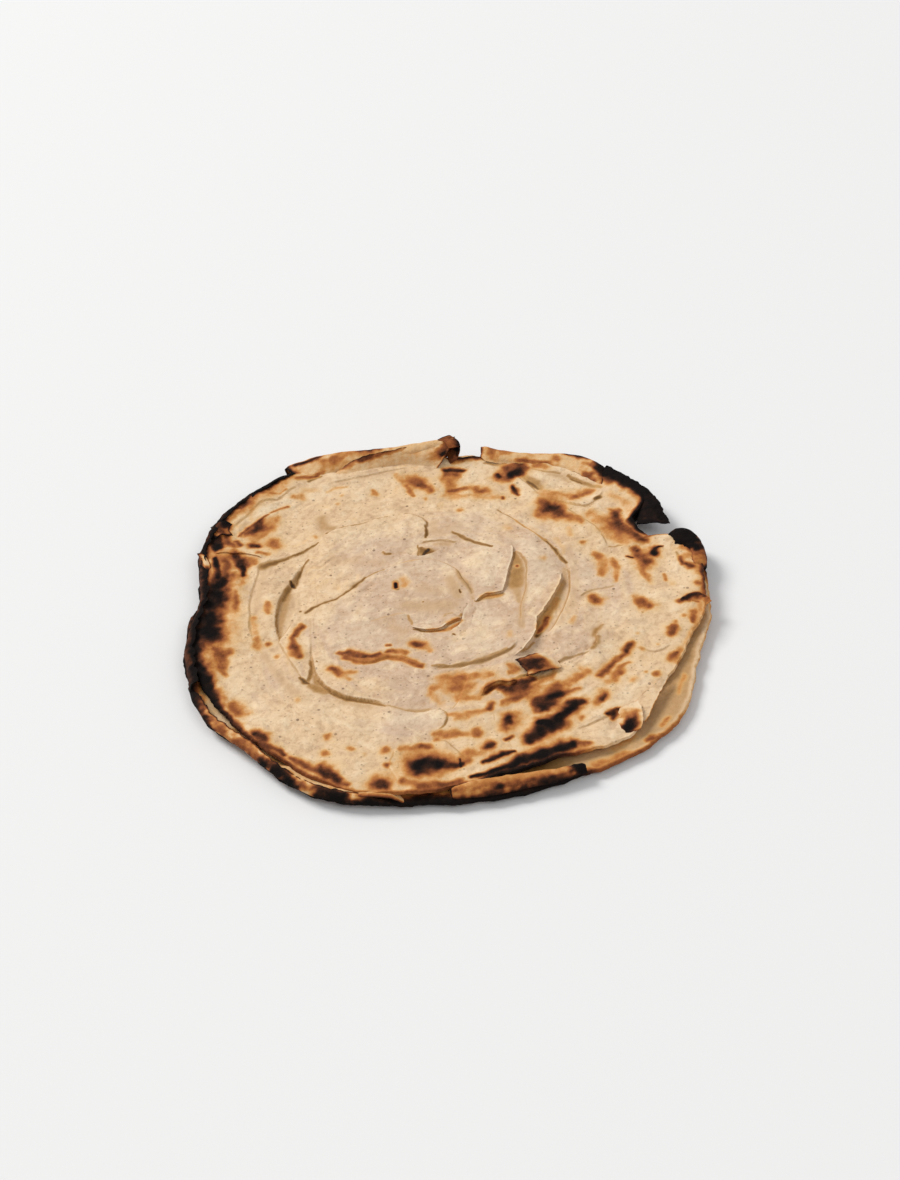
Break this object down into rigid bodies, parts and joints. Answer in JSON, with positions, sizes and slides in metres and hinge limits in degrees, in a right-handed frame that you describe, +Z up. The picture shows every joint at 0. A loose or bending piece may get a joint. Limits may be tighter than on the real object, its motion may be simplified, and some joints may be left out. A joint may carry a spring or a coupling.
{
  "type": "paratha flatbread",
  "caption": "Round flaky layered flatbread, coiled and pressed flat, with a folded, scorched rim and a torn notch, resting on its flat underside.",
  "frame": {"origin": "middle of the bread's box, on the surface it lies on", "axes": "+Z up out of the baked top, +Y towards the folded edge at the back, +X towards the side with the torn notch"},
  "size_m": [0.2028, 0.197, 0.017],
  "materials": {
    "crust": "matt baked dough, pale cream with brown and black scorch marks"
  },
  "bodies": {
    "root": {"paratha": "crust"}
  },
  "joints": []
}
